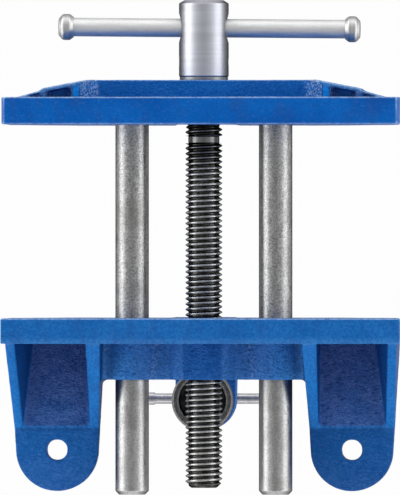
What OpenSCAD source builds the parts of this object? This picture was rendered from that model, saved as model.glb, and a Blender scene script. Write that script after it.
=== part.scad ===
// Clamp-on woodworking vise, lying on a bench top with its jaws open.
// +Z points up from the bench, +Y back over the bench, and the handle is at the front, towards -Y.
// The origin lies on the bench face, midway between the two ear holes.

/* [Jaws] */
// Width of both jaws
jaw_w = 171; // [160:1:190]
// Height of the jaw tops above the bench face
jaw_top = 48; // [46:1:60]
// Depth of the jaws below the bench face
jaw_skirt = 24; // [18:1:30]
// Thickness of the band along the top of the front jaw
front_band_t = 11.7; // [10.4:0.1:13]
// Thickness of the band along the top of the rear jaw
rear_band_t = 10.9; // [10.4:0.1:13]
// Height of a jaw's top band
band_h = 8; // [6:0.5:9]
// Thickness of a jaw plate below its band
plate_t = 9; // [7.5:0.5:10]
// How far the plates' ends stand back from their bands
plate_inset = 1.1; // [0.5:0.1:2]
// How far the front jaw's ends draw in towards the top
end_draft = 1.1; // [0:0.1:2]
// Height above the bench face where the jaw ends start to taper
taper_z = 10; // [2:1:20]
// Width of the jaws at their lower edge
jaw_bottom_w = 112; // [96:1:150]
// Opening between the jaws as shown
jaw_open = 83; // [60:1:110]

/* [Front casting] */
// How far the front casting stands out beyond the band
ledge_out = 7.5; // [6:0.1:10]
// Height of the ledge between the front ribs, above the bench face
ledge_z = 28.5; // [27:0.5:32]
// Height of the wings outside the ledge, above the bench face
wing_z = 38; // [36.5:0.5:38.5]
// Underside of the front casting's box, below the bench face
box_drop = 6; // [3:1:12]
// Half width of the flat front
flat_half_w = 49; // [46:0.5:50]
// Half width where the wing outline steps back
step_half_w = 68.6; // [67:0.2:72]
// How far the wing outline steps back there
step_back = 0.8; // [0.5:0.1:2]
// How far the wing outline has fallen back at the step
step_fall = 3.7; // [2:0.1:4.5]
// Half width where the wing meets the band
wing_half_w = 79.6; // [76:0.2:79.8]
// Half width of the front box's underside
box_bottom_half_w = 52; // [46:1:60]
// Half width of the ledge between the feet of the ribs' slopes
recess_half_w = 44.3; // [42:0.1:44.8]
// Half width where the ribs' slopes reach the top of the wings
rib_inner_x = 51.9; // [49:0.1:52.4]
// Thickness of the rim in front of the wing pockets
rim_t = 1.8; // [1.2:0.1:2.2]
// Half width of the deep pocket's floor at its inner wall
pocket_x = 57.9; // [57.6:0.1:58]
// Width of the deep pocket's floor
pocket_w = 6.3; // [5.4:0.1:6.4]
// Depth of the deep pocket below the wing's top
pocket_deep = 7.5; // [7:0.5:9]
// Spread of the deep pocket's drafted side walls
pocket_spread = 2.8; // [1:0.1:3]
// Half width of the shallow pocket's floor at its inner wall
tray_x = 68.9; // [68.7:0.1:69.2]
// Width of the shallow pocket's floor
tray_w = 5; // [3:0.2:5.2]
// Depth of the shallow pocket below the wing's top
tray_deep = 2.5; // [1.5:0.5:4]
// Spread of the shallow pocket's drafted side walls
tray_spread = 0.6; // [0.2:0.1:0.7]
// Thickness of the rim in front of the shallow pocket
tray_rim_t = 1; // [0.8:0.1:1.2]
// Radius of the relief round the screw in the inner face
relief_r = 13.3; // [12.8:0.1:14.5]
// Depth of that relief
relief_t = 5; // [4.6:0.2:6.5]

/* [Ears and web] */
// Distance from the rear jaw's inner face to the ear holes
hole_back = 56.8; // [54:0.2:66]
// Distance between the two ear holes
hole_spacing = 127; // [122:1:132]
// Radius of an ear hole
ear_hole_r = 4.5; // [3:0.5:5.5]
// Radius of an ear's round end
ear_r = 17.8; // [15:0.2:19]
// Thickness of an ear
ear_t = 7.5; // [6:0.5:10]
// Width of the window between the ears at the web
window_w = 85.8; // [84:0.2:88]
// Radius of the window's corners
window_corner_r = 2.2; // [1:0.1:3]
// Depth of the web behind the inner face
web_back = 26.5; // [22:0.1:28]
// Height of the web between its bosses
web_h = 20; // [16:0.5:22]
// Radius of the web's boss round a guide rod
rod_boss_r = 12.4; // [11:0.2:13.4]
// Radius of the web's boss round the screw
screw_boss_r = 16.5; // [14:0.5:19]
// Distance from the inner face to the ends of the ear ribs
ear_rib_back = 48; // [44:1:50]
// Width of an outer ear rib at the jaw
outer_rib_w = 5; // [4:0.5:6]
// Width of an outer ear rib at its end
outer_rib_tip_w = 3.6; // [2:0.2:5]
// Spread of an outer ear rib's drafted inner wall at the jaw
outer_rib_foot = 6.5; // [2:0.5:9]
// Width of an inner ear rib at the jaw
inner_rib_w = 6.7; // [5:0.1:8]
// Width of an inner ear rib at its end
inner_rib_tip_w = 4; // [2:0.2:5]

/* [Wooden jaw lining holes] */
// Distance between the two lining screw holes in each jaw
lining_spacing = 121; // [120:0.5:122]
// Radius of a lining screw hole
lining_hole_r = 2.5; // [2:0.25:3]
// Height of the lining screw holes above the bench face
lining_z = 34.5; // [34:0.25:36]

/* [Guide rods] */
// Height of the rod and screw axes above the bench face
axis_z = 12; // [11.6:0.1:13]
// Distance between the guide rods
rod_spacing = 61.8; // [60:0.1:64]
// Radius of a guide rod
rod_r = 7.2; // [6:0.1:8]
// How far the rods reach behind the rear jaw's inner face
rod_back = 76; // [62:0.5:110]
// Length of a rod's end chamfer
rod_chamfer = 1.7; // [1:0.1:2.5]
// Metal left in front of a rod's socket
socket_wall = 3.4; // [2.5:0.1:4.5]
// Radius of a rod's cross pin
rod_pin_r = 2; // [1.5:0.1:2.2]
// Metal left above a rod's cross pin
rod_pin_cover = 2; // [1:0.5:4]

/* [Main screw] */
// Radius of the screw over its thread
screw_r = 7.95; // [7:0.05:8.2]
// Radius at the root of its thread
screw_root_r = 6.6; // [6:0.05:6.7]
// Pitch of its thread
screw_pitch = 2.309; // [2:0.001:4]
// How far the screw reaches behind the rear jaw's inner face
screw_back = 73; // [60:0.5:106]
// Distance from the front jaw's inner face to the turned groove
groove_back = 4.8; // [3:0.1:7]
// Width of the turned groove
groove_w = 3.1; // [2:0.1:5]
// Length of the screw's end chamfer
screw_chamfer = 1.2; // [0.8:0.1:2]
// Radius of the screw's spigot in the hub
spigot_r = 6; // [5:0.1:6.5]
// Length of that spigot
spigot_len = 13; // [11:0.5:15]
// Radius of the hub pin
hub_pin_r = 2; // [1.5:0.1:2.5]
// Thickness of the thrust washer
washer_t = 1.2; // [0.8:0.1:2]
// Radius of the thrust washer
washer_r = 10.4; // [9.4:0.1:10.6]
// Radius of the retaining clip
clip_r = 11.4; // [10:0.1:12.2]
// Thickness of the retaining clip
clip_t = 1.8; // [1.2:0.1:2]
// Radius at the bottom of the clip's groove
clip_groove_r = 6; // [5.5:0.1:6.4]
// Width of the clip's mouth
clip_mouth = 9; // [7:0.5:10]

/* [Hub and T-bar] */
// Radius of the hub
hub_r = 10.7; // [10.7:0.1:12]
// Length of the hub
hub_len = 33.1; // [31:0.1:40]
// Radial width of the hub's end chamfer
hub_chamfer_r = 2.3; // [1:0.1:3]
// Length of the hub's end chamfer
hub_chamfer_len = 1.4; // [0.8:0.1:2.5]
// Distance from the hub's outer end to the T-bar
bar_in = 12; // [9:0.1:13]
// Radius of the T-bar
bar_r = 4; // [3.5:0.1:4.5]
// Length of the T-bar over its knobs
bar_len = 130; // [100:1:160]
// How far the T-bar has slid towards -X as shown
bar_slid = 2.4; // [-20:0.2:20]
// Tilt of the loose T-bar as shown, in degrees
bar_tilt = 0.5; // [0:0.1:0.6]
// Radial play of the T-bar in its hole
bar_play = 0.3; // [0.2:0.05:0.5]
// Width of the chamfer at the mouths of the T-bar's hole
mouth_chamfer = 0.9; // [0.4:0.1:1.2]
// Radius of a knob
knob_r = 5.6; // [5.2:0.1:7]
// Length of a knob
knob_len = 6.5; // [5.6:0.1:9]
// Radius of a knob's rounded edges
knob_round = 2.3; // [1:0.1:2.5]
// Metal left over the T-bar's end in a knob
knob_wall = 1.2; // [0.8:0.1:2]

/* [Bench clamp] */
// Distance from the rear jaw's inner face to the clamp screw
clamp_back = 36; // [33:0.5:40]
// How far the clamp screw lies to the left of the main screw
clamp_x = 3; // [0:0.1:4]
// Distance from the bench face down to the clamp arm's boss
arm_gap = 66; // [60:1:80]
// Height of the boss at the end of the arm
boss_h = 16; // [12:0.5:18]
// Radius of that boss
boss_r = 13.1; // [12:0.1:13.4]
// Half width of the arm where it leaves the jaw
arm_half_w = 13.8; // [13.5:0.1:18]
// Size of the fillet inside the arm's corner
arm_fillet = 7; // [3:0.5:9]
// Size of the bevel outside the arm's corner
arm_bevel = 10; // [4:0.5:12]
// Gap between the bench face and the pad as shown
pad_gap = 35; // [26:1:40]
// Radius of the pad
pad_r = 13.3; // [12:0.1:15]
// Height of the pad
pad_h = 8; // [6:0.5:9]
// Radius of the pad's recess
pad_recess_r = 10.2; // [9:0.1:10.5]
// Depth of the pad's recess
pad_recess = 3.4; // [3:0.1:4]
// Radius of the clamp screw over its thread
clamp_r = 6; // [5.4:0.1:6.4]
// Radius at the root of its thread
clamp_root_r = 5; // [4.6:0.1:5.1]
// Pitch of its thread
clamp_pitch = 1.75; // [1.5:0.05:3]
// Length of the clamp screw from pad to head
clamp_len = 62; // [60:1:80]
// Radius of the neck that carries the pad
neck_r = 4; // [3.5:0.1:4.4]
// Radius of the clamp screw's head
head_r = 8; // [7:0.1:9]
// Height of that head
head_h = 12; // [9:0.5:16]
// Radius of the clamp's tommy bar
tommy_r = 2.25; // [1.8:0.05:2.6]
// Length of that bar over its collars
tommy_len = 54; // [44:1:70]
// Radius of a collar on its ends
collar_r = 2.7; // [2.65:0.05:3.2]
// Length of a collar
collar_len = 2.4; // [1.6:0.1:4]
// Thickness of the ring that retains the pad
retainer_t = 0.9; // [0.6:0.1:1.2]
// Radius of that ring
retainer_r = 7; // [6:0.1:8]

/* [Clearances] */
// Radial clearance of a sliding or turning fit
run_gap = 0.08; // [0.05:0.01:0.1]
// Radial clearance of a pressed or pinned fit
press_gap = 0.02; // [0.01:0.01:0.03]
// Clearance between faces that bear on each other
face_gap = 0.15; // [0.1:0.05:0.3]

/* [Hidden] */
$fn = 96;
cast_blue = [0.03, 0.28, 0.66];
steel = [0.62, 0.62, 0.62];
bright_steel = [0.8, 0.8, 0.82];
dark_steel = [0.2, 0.2, 0.2];
// One overrun serves every cut, and every joint between two solids of one casting
cut = 1;
// How far a straight side sinks into the round end that it runs up to
sink = 0.02;
// Crest and root widths of a V thread, as shares of its pitch
crest_share = 0.18;
root_share = 0.14;

rear_y = -hole_back;
front_y = rear_y - jaw_open;
box_t = front_band_t + ledge_out;
front_face_y = front_y - box_t;
band_z = jaw_top - band_h;
rod_x = rod_spacing / 2;
ear_x = hole_spacing / 2;
rod_end_y = rear_y + rod_back;
socket_y = front_face_y + socket_wall;
screw_end_y = rear_y + screw_back;
washer_y = front_face_y - face_gap - washer_t;
hub_y = washer_y - hub_len;
bar_y = hub_y + bar_in;
clip_y = front_y - relief_t + face_gap;
clamp_y = rear_y + clamp_back;
pad_top_z = -pad_gap;
pad_bottom_z = pad_top_z - pad_h;
shoulder_z = pad_bottom_z - face_gap;
head_z = shoulder_z - clamp_len;
tommy_z = head_z - head_h / 2;
retainer_z = pad_top_z - pad_recess + face_gap;
arm_bottom_z = -arm_gap - boss_h;

// A half outline and its mirror image as one closed outline
function both_sides(half) =
    concat(half, [for (i = [len(half) - 1 : -1 : 0]) [-half[i][0], half[i][1]]]);

// The point where a line from p meets the circle round c, just under its skin, on the side that turn picks
function tangent_point(p, c, r, turn) =
    let (away = p - c, a = atan2(away[1], away[0]) + turn * acos((r - sink) / norm(away)))
    c + (r - sink) * [cos(a), sin(a)];

// The point of the line from a to b at the distance y along +Y
function at_y(a, b, y) = [a[0] + (b[0] - a[0]) * (y - a[1]) / (b[1] - a[1]), y];

// Radius and length pairs of a V thread that starts at its root, from one end to the other
function thread(from, to, pitch, crest, root) =
    [for (i = [0 : floor((to - from) / pitch) - 1]) let (at = from + i * pitch)
        each [[root, at], [root, at + root_share * pitch],
            [crest, at + (1 + root_share - crest_share) * pitch / 2],
            [crest, at + (1 + root_share + crest_share) * pitch / 2]]];

module along_x(from, to, y, z, r)
    translate([from, y, z]) rotate([0, 90, 0]) cylinder(r = r, h = to - from);

module along_y(from, to, x, z, r)
    translate([x, from, z]) rotate([-90, 0, 0]) cylinder(r = r, h = to - from);

module along_z(from, to, x, y, r)
    translate([x, y, from]) cylinder(r = r, h = to - from);

module block(low, high)
    translate(low) cube(high - low);

// An outline in Y and Z, drawn out along X
module side_profile(from, to, outline)
    translate([from, 0, 0]) rotate([90, 0, 90]) linear_extrude(to - from) polygon(outline);

// An outline in X and Z, drawn out along Y
module front_profile(from, to, outline)
    translate([0, to, 0]) rotate([90, 0, 0]) linear_extrude(to - from) polygon(outline);

// A turned piece along +Y from radius and length pairs
module turned(outline)
    rotate([-90, 0, 0]) rotate_extrude() polygon(outline);

// The plate and the top band that both jaws share, with the inner face at y = 0
module jaw_shell(band_t, inset, draft) {
    top = [jaw_w / 2 - draft, jaw_top];
    front_profile(0, band_t, both_sides([top, [jaw_w / 2, band_z]]));
    front_profile(0, plate_t, both_sides([[jaw_w / 2 - inset, band_z + cut],
        [jaw_w / 2 - inset, taper_z], [jaw_bottom_w / 2, -jaw_skirt]]));
}

module lining_holes(from, to)
    for (side = [-1, 1]) along_y(from, to, side * lining_spacing / 2, lining_z, lining_hole_r);

// One ear with its round end and its two ribs, on the +X side
module ear() {
    centre = [ear_x, 0];
    root_y = rear_y + plate_t / 2;
    outer = [jaw_w / 2 - plate_inset, root_y];
    inner = [window_w / 2, root_y];
    outer_end = tangent_point(outer, centre, ear_r, 1);
    inner_end = tangent_point(inner, centre, ear_r, -1);
    rib_y = rear_y + ear_rib_back;
    outer_tip = at_y(outer, outer_end, rib_y);
    inner_tip = at_y(inner, inner_end, rib_y);
    plan = [outer, outer_end, inner_end, inner];
    linear_extrude(ear_t) {
        polygon(plan);
        translate(centre) circle(r = ear_r);
    }
    foot = outer - [outer_rib_w + outer_rib_foot, 0];
    foot_tip = outer_tip - [outer_rib_tip_w, 0];
    intersection() {
        linear_extrude(jaw_top) polygon(plan);
        union() {
            difference() {
                linear_extrude(jaw_top) polygon([[jaw_w / 2, root_y], [jaw_w / 2, rib_y], foot_tip, foot]);
                drafted_wall(foot, foot_tip, atan(outer_rib_foot / (band_z - ear_t)));
            }
            linear_extrude(jaw_top) polygon([[0, root_y], [0, rib_y],
                inner_tip + [inner_rib_tip_w, 0], inner + [inner_rib_w, 0]]);
        }
        side_profile(0, jaw_w / 2, [[root_y, ear_t - cut], [rear_y + plate_t, band_z],
            [rear_y + rear_band_t, band_z], [rib_y, ear_t], [rib_y, ear_t - cut]]);
    }
    window_corner(at_y(inner, inner_end, rear_y + web_back + window_corner_r));
}

// Cuts what lies inside a wall that leans outwards by the draft from its foot, between the two foot points
module drafted_wall(from, to, draft)
    translate([from[0], from[1], ear_t]) rotate([0, 0, -atan2(to[0] - from[0], to[1] - from[1])])
        rotate([0, draft, 0]) translate([-jaw_w, -cut, -jaw_top]) cube([jaw_w, jaw_w, 2 * jaw_top]);

// The rounded corner where the ear's inner edge meets the web, ending at the point given on that edge
module window_corner(top)
    linear_extrude(ear_t) difference() {
        translate(top - [window_corner_r, window_corner_r + cut])
            square([window_corner_r + cut, window_corner_r + cut]);
        translate(top - [window_corner_r - sink, sink]) circle(r = window_corner_r);
    }

// The web between the ears, with bosses round the rods and the screw
module web() {
    end_y = rear_y + web_back;
    intersection() {
        union() {
            block([-window_w / 2 - cut, rear_y + cut, 0], [window_w / 2 + cut, end_y, web_h]);
            for (side = [-1, 1]) along_y(rear_y + cut, end_y, side * rod_x, axis_z, rod_boss_r);
            along_y(rear_y + cut, end_y, 0, axis_z, screw_boss_r);
        }
        block([-jaw_w / 2, rear_y, 0], [jaw_w / 2, end_y, jaw_top]);
    }
}

// The C-shaped arm of the bench clamp, from the jaw's skirt down and back to its boss
module clamp_arm() {
    back_y = rear_y + rear_band_t;
    root = [arm_half_w, rear_y];
    touch = tangent_point(root, [0, clamp_y], boss_r, 1);
    translate([clamp_x, 0, 0]) intersection() {
        side_profile(-arm_half_w, arm_half_w, [[rear_y, -jaw_skirt + cut], [back_y, -jaw_skirt + cut],
            [back_y, -arm_gap + arm_fillet], [back_y + arm_fillet, -arm_gap], [clamp_y + cut, -arm_gap],
            [clamp_y + cut, arm_bottom_z], [rear_y + arm_bevel, arm_bottom_z],
            [rear_y, arm_bottom_z + arm_bevel]]);
        translate([0, 0, arm_bottom_z]) linear_extrude(-arm_bottom_z) polygon(both_sides([root, touch]));
    }
    along_z(arm_bottom_z, -arm_gap, clamp_x, clamp_y, boss_r);
}

module rear_jaw() color(cast_blue) difference() {
    union() {
        translate([0, rear_y, 0]) jaw_shell(rear_band_t, plate_inset, 0);
        for (side = [0, 1]) mirror([side, 0, 0]) ear();
        web();
        clamp_arm();
    }
    for (side = [-1, 1]) {
        along_y(rear_y - cut, rear_y + web_back + cut, side * rod_x, axis_z, rod_r + run_gap);
        along_z(-cut, ear_t + cut, side * ear_x, 0, ear_hole_r);
    }
    along_y(rear_y - cut, rear_y + web_back + cut, 0, axis_z, screw_r + run_gap);
    along_z(arm_bottom_z - cut, -arm_gap + cut, clamp_x, clamp_y, clamp_r + run_gap);
    lining_holes(rear_y - cut, rear_y + plate_t + cut);
}

// How far the wing outline stands out at the distance x from the middle, up to its step
function wing_y(x) = box_t - step_fall * (x - flat_half_w) / (step_half_w - flat_half_w);

// The same beyond the step, down to where the wing meets the band
function tip_y(x) = let (start = box_t - step_fall - step_back)
    start + (front_band_t - start) * (x - step_half_w) / (wing_half_w - step_half_w);

// A cut from the top of the wings, with a floor from x to x + w and drafted side walls
module wing_cut(x, w, depth, spread) {
    top_spread = spread * (depth + cut) / depth;
    front_profile(plate_t, box_t + cut, [[x, wing_z - depth], [x + w, wing_z - depth],
        [x + w + top_spread, wing_z + cut], [x - top_spread, wing_z + cut]]);
}

// The same as a pocket that ends at the two rim points given
module wing_pocket(x, w, depth, spread, rim_from, rim_to)
    intersection() {
        wing_cut(x, w, depth, spread);
        linear_extrude(jaw_top) polygon([[rim_from[0], 0], [rim_to[0], 0], rim_to, rim_from]);
    }

// The box that stands out in front of the front jaw's plate, with the inner face at y = 0
module front_box() {
    step_y = box_t - step_fall;
    pocket_from = pocket_x - 2 * pocket_spread;
    pocket_to = pocket_x + pocket_w + 2 * pocket_spread;
    tray_from = tray_x - 2 * tray_spread;
    tray_to = tray_x + tray_w + 2 * tray_spread;
    difference() {
        intersection() {
            translate([0, 0, -box_drop]) linear_extrude(wing_z + box_drop)
                polygon(both_sides([[wing_half_w, cut], [wing_half_w, front_band_t],
                    [step_half_w, step_y - step_back], [step_half_w, step_y], [flat_half_w, box_t]]));
            front_profile(0, box_t, both_sides([[wing_half_w, wing_z], [wing_half_w, taper_z],
                [box_bottom_half_w, -box_drop]]));
        }
        wing_cut(-recess_half_w, 2 * recess_half_w, wing_z - ledge_z, rib_inner_x - recess_half_w);
        for (side = [0, 1]) mirror([side, 0, 0]) {
            wing_pocket(pocket_x, pocket_w, pocket_deep, pocket_spread,
                [pocket_from, wing_y(pocket_from) - rim_t], [pocket_to, wing_y(pocket_to) - rim_t]);
            wing_pocket(tray_x, tray_w, tray_deep, tray_spread,
                [tray_from, tip_y(tray_from) - tray_rim_t], [tray_to, tip_y(tray_to) - tray_rim_t]);
        }
    }
}

module front_jaw() color(cast_blue) difference() {
    translate([0, front_y, 0]) mirror([0, 1, 0]) {
        jaw_shell(front_band_t, plate_inset, end_draft);
        front_box();
    }
    for (side = [-1, 1]) {
        along_y(socket_y, front_y + cut, side * rod_x, axis_z, rod_r + press_gap);
        rod_pin_place(side) cylinder(r = rod_pin_r + press_gap, h = rod_pin_len());
    }
    along_y(front_face_y - cut, front_y + cut, 0, axis_z, screw_r + run_gap);
    along_y(front_y - relief_t, front_y + cut, 0, axis_z, relief_r);
    block([-relief_r, front_y - relief_t, -jaw_skirt - cut], [relief_r, front_y + cut, axis_z]);
    lining_holes(front_y - plate_t - cut, front_y + cut);
}

module guide_rod(side) color(steel) difference() {
    translate([side * rod_x, 0, axis_z]) turned([[0, socket_y], [rod_r, socket_y],
        [rod_r, rod_end_y - rod_chamfer], [rod_r - rod_chamfer, rod_end_y], [0, rod_end_y]]);
    rod_pin_place(side) cylinder(r = rod_pin_r + press_gap, h = rod_pin_len());
}

module guide_rod_left() guide_rod(1);
module guide_rod_right() guide_rod(-1);

// The cross pins are driven up into the rods from the underside of the front box
function rod_pin_len() = axis_z + rod_r - rod_pin_cover + box_drop;

module rod_pin_place(side)
    translate([side * rod_x, (socket_y + front_y - plate_t) / 2, -box_drop]) children();

module rod_pin(side) color(dark_steel)
    rod_pin_place(side) cylinder(r = rod_pin_r, h = rod_pin_len() - face_gap);

module rod_pin_left() rod_pin(1);
module rod_pin_right() rod_pin(-1);

module main_screw() color(dark_steel) difference() {
    translate([0, 0, axis_z]) turned(concat(
        [[0, washer_y - spigot_len], [spigot_r, washer_y - spigot_len], [spigot_r, washer_y],
            [screw_r, washer_y], [screw_r, clip_y - face_gap / 2], [clip_groove_r, clip_y - face_gap / 2],
            [clip_groove_r, clip_y + clip_t + face_gap / 2], [screw_r, clip_y + clip_t + face_gap / 2],
            [screw_r, front_y]],
        thread(front_y, front_y + groove_back, screw_pitch, screw_r, screw_root_r),
        thread(front_y + groove_back + groove_w, screw_end_y - screw_chamfer, screw_pitch, screw_r,
            screw_root_r),
        [[screw_root_r, screw_end_y - screw_chamfer], [screw_root_r - screw_chamfer, screw_end_y],
            [0, screw_end_y]]));
    hub_pin_hole();
}

module hub_pin_hole()
    along_x(-hub_r - cut, hub_r + cut, washer_y - spigot_len / 2, axis_z, hub_pin_r + press_gap);

// Places what follows the loose T-bar's own line, which runs along +X from here
module bar_line()
    translate([0, bar_y, axis_z]) rotate([0, 0, -bar_tilt]) children();

module screw_hub() color(bright_steel) difference() {
    translate([0, 0, axis_z]) turned([[0, hub_y], [hub_r - hub_chamfer_r, hub_y],
        [hub_r, hub_y + hub_chamfer_len], [hub_r, washer_y], [0, washer_y]]);
    along_y(washer_y - spigot_len - face_gap, washer_y + cut, 0, axis_z, spigot_r + press_gap);
    hub_pin_hole();
    along_x(-hub_r - cut, hub_r + cut, bar_y, axis_z, bar_r + bar_play);
    for (side = [-1, 1]) translate([side * hub_r, bar_y, axis_z]) rotate([0, -side * 90, 0])
        cylinder(r1 = bar_r + bar_play + mouth_chamfer, r2 = bar_r + bar_play, h = 2 * mouth_chamfer);
}

module hub_pin() color(dark_steel)
    along_x(-hub_r + face_gap, hub_r - face_gap, washer_y - spigot_len / 2, axis_z, hub_pin_r);

module thrust_washer() color(steel) difference() {
    along_y(washer_y, washer_y + washer_t, 0, axis_z, washer_r);
    along_y(washer_y - cut, washer_y + washer_t + cut, 0, axis_z, screw_r + press_gap);
}

module retaining_clip() color(steel) difference() {
    along_y(clip_y, clip_y + clip_t, 0, axis_z, clip_r);
    along_y(clip_y - cut, clip_y + clip_t + cut, 0, axis_z, clip_groove_r + press_gap);
    block([-clip_mouth / 2, clip_y - cut, axis_z - clip_r - cut],
        [clip_mouth / 2, clip_y + clip_t + cut, axis_z]);
}

module handle_bar() color(bright_steel)
    bar_line() along_x(-bar_slid - bar_len / 2 + knob_wall, -bar_slid + bar_len / 2 - knob_wall, 0, 0, bar_r);

// A barrel knob, turned along +Z from its inner face, with a blind hole for the T-bar
module knob() difference() {
    rotate_extrude() {
        square([knob_r - knob_round, knob_len]);
        translate([0, knob_round]) square([knob_r, knob_len - 2 * knob_round]);
        for (at = [knob_round, knob_len - knob_round])
            translate([knob_r - knob_round, at]) circle(r = knob_round);
    }
    translate([0, 0, -cut]) cylinder(r = bar_r + press_gap, h = knob_len - knob_wall + face_gap + cut);
}

module handle_knob(side) color(bright_steel)
    bar_line() translate([-bar_slid + side * (bar_len / 2 - knob_len), 0, 0]) rotate([0, side * 90, 0]) knob();

module handle_knob_left() handle_knob(1);
module handle_knob_right() handle_knob(-1);

module clamp_screw() color(dark_steel) difference() {
    translate([clamp_x, clamp_y, 0]) rotate_extrude() polygon(concat(
        [[0, head_z - head_h], [head_r, head_z - head_h], [head_r, head_z]],
        thread(head_z, shoulder_z - clamp_pitch / 2, clamp_pitch, clamp_r, clamp_root_r),
        [[clamp_root_r, shoulder_z - clamp_pitch / 2], [clamp_root_r, shoulder_z], [neck_r, shoulder_z],
            [neck_r, retainer_z], [retainer_bore_r(), retainer_z],
            [retainer_bore_r(), retainer_z + retainer_t + face_gap / 2],
            [neck_r, retainer_z + retainer_t + face_gap / 2], [neck_r, pad_top_z - face_gap],
            [0, pad_top_z - face_gap]]));
    along_x(clamp_x - head_r - cut, clamp_x + head_r + cut, clamp_y, tommy_z, tommy_r + run_gap);
}

// The retaining ring sits in a groove one retainer thickness deep
function retainer_bore_r() = neck_r - retainer_t;

module clamp_pad() color(dark_steel) difference() {
    along_z(pad_bottom_z, pad_top_z, clamp_x, clamp_y, pad_r);
    along_z(pad_top_z - pad_recess, pad_top_z + cut, clamp_x, clamp_y, pad_recess_r);
    along_z(pad_bottom_z - cut, pad_top_z + cut, clamp_x, clamp_y, neck_r + run_gap);
}

module pad_retainer() color(steel) difference() {
    along_z(retainer_z, retainer_z + retainer_t, clamp_x, clamp_y, retainer_r);
    along_z(retainer_z - cut, retainer_z + retainer_t + cut, clamp_x, clamp_y,
        retainer_bore_r() + press_gap);
}

module clamp_bar() color(bright_steel)
    along_x(clamp_x - tommy_len / 2, clamp_x + tommy_len / 2, clamp_y, tommy_z, tommy_r);

module clamp_bar_collar(side) color(bright_steel)
    translate([clamp_x + side * tommy_len / 2, clamp_y, tommy_z]) rotate([0, -side * 90, 0]) difference() {
        cylinder(r = collar_r, h = collar_len);
        translate([0, 0, -cut]) cylinder(r = tommy_r + press_gap, h = collar_len + 2 * cut);
    }

module clamp_bar_collar_left() clamp_bar_collar(1);
module clamp_bar_collar_right() clamp_bar_collar(-1);

rear_jaw();
front_jaw();
guide_rod_left();
guide_rod_right();
rod_pin_left();
rod_pin_right();
main_screw();
screw_hub();
hub_pin();
thrust_washer();
retaining_clip();
handle_bar();
handle_knob_left();
handle_knob_right();
clamp_screw();
clamp_pad();
pad_retainer();
clamp_bar();
clamp_bar_collar_left();
clamp_bar_collar_right();
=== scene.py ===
"""Looks for the clamp-on woodworking vise: castings, steel and light. Metres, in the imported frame."""

import math

import bmesh
import bpy
import numpy as np
from mathutils import Matrix, Vector, noise

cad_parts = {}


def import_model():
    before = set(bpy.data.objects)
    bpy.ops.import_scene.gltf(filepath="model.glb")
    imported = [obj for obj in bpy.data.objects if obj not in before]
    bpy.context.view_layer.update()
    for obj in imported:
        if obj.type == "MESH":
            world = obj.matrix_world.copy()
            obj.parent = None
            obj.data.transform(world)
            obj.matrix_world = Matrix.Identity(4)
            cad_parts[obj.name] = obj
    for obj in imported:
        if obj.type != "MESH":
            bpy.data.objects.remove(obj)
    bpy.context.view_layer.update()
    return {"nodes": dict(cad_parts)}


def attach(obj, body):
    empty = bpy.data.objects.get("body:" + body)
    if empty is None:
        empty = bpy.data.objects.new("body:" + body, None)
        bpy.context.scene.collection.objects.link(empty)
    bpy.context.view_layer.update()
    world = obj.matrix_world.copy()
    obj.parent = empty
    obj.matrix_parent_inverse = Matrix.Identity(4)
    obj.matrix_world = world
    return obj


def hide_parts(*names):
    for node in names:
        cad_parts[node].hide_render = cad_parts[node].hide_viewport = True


MM = 0.001
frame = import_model()
NODES = frame["nodes"]

# Places and sizes of the CAD model, in millimetres
AXIS_Z = 12.0
TOP_Z, BAND_Z, REAR_BAND, FRONT_BAND = 48.0, 40.0, 10.9, 11.7
REAR_Y, FRONT_Y, FACE_Y = -56.8, -139.8, -159.0
REAR_BACK, FRONT_BACK = REAR_Y + REAR_BAND, FRONT_Y - FRONT_BAND
EAR_TOP, EAR_RIB_END, EAR_IN, WEB_TOP = 7.5, -8.8, 43.0, 20.0
RIB_FALL = (BAND_Z - EAR_TOP) / (EAR_RIB_END - REAR_BACK)
WING_Z, POCKET_Z, TRAY_Z = 38.0, 30.5, 35.5
WING_X, WING_SLOPE = 49.0, 0.189
TIP_X, TIP_STEP, TIP_SLOPE = 68.6, 0.8, 0.084
LEDGE_X, RIB_X, POCKET_X, TRAY_X = 45.0, (52.1, 54.9), (57.9, 64.2), (68.9, 73.9)
LEDGE_SLOPE, INNER_SLOPE = (44.6, 51.9), (55.4, 58.2)
OUTER_SLOPE, TRAY_SLOPE = (64.0, 67.6), (68.4, 74.0)
ROD_X, ROD_R, ROD_START, ROD_END = 30.9, 7.2, -155.6, 19.2
SCREW_R, SCREW_ROOT, SCREW_PITCH, SCREW_END = 7.95, 6.6, 2.309, 16.2
GROOVE, CLIP_GROOVE = (-135.0, -131.9), (-144.72, -142.78)
WASHER_Y, HUB_Y, HUB_R, BAR_Y = -160.35, -193.45, 10.7, -181.45
SPIGOT_R, SPIGOT_LEN, HUB_PIN_R, HUB_PIN_IN = 6.0, 13.0, 2.02, 6.5
BAR_R, BAR_TILT, BAR_SLID, BAR_LEN = 4.0, 0.5, 2.4, 130.0
KNOB_R, KNOB_LEN = 5.6, 6.5
CLAMP_X, CLAMP_Y, CLAMP_LOW, CLAMP_TOP = 3.0, -20.8, -117.15, -35.15
CLAMP_HEAD_R, CLAMP_HEAD_TOP, CLAMP_THREAD_TOP = 8.0, -105.15, -43.2
CLAMP_ROOT, CLAMP_CREST, CLAMP_PITCH = 4.98, 5.98, 1.75
CLAMP_NECK_R, RETAINER_R, RETAINER_Z = 4.0, 3.1, (-38.25, -37.2)
PAD_R, PAD_LOW, PAD_TOP, PAD_BORE, PAD_FLOOR = 13.3, -43.0, -35.05, 4.08, -38.4
TOMMY_R, TOMMY_HOLE, TOMMY_HALF, TOMMY_Z = 2.25, 2.33, 27.0, -111.15

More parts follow.
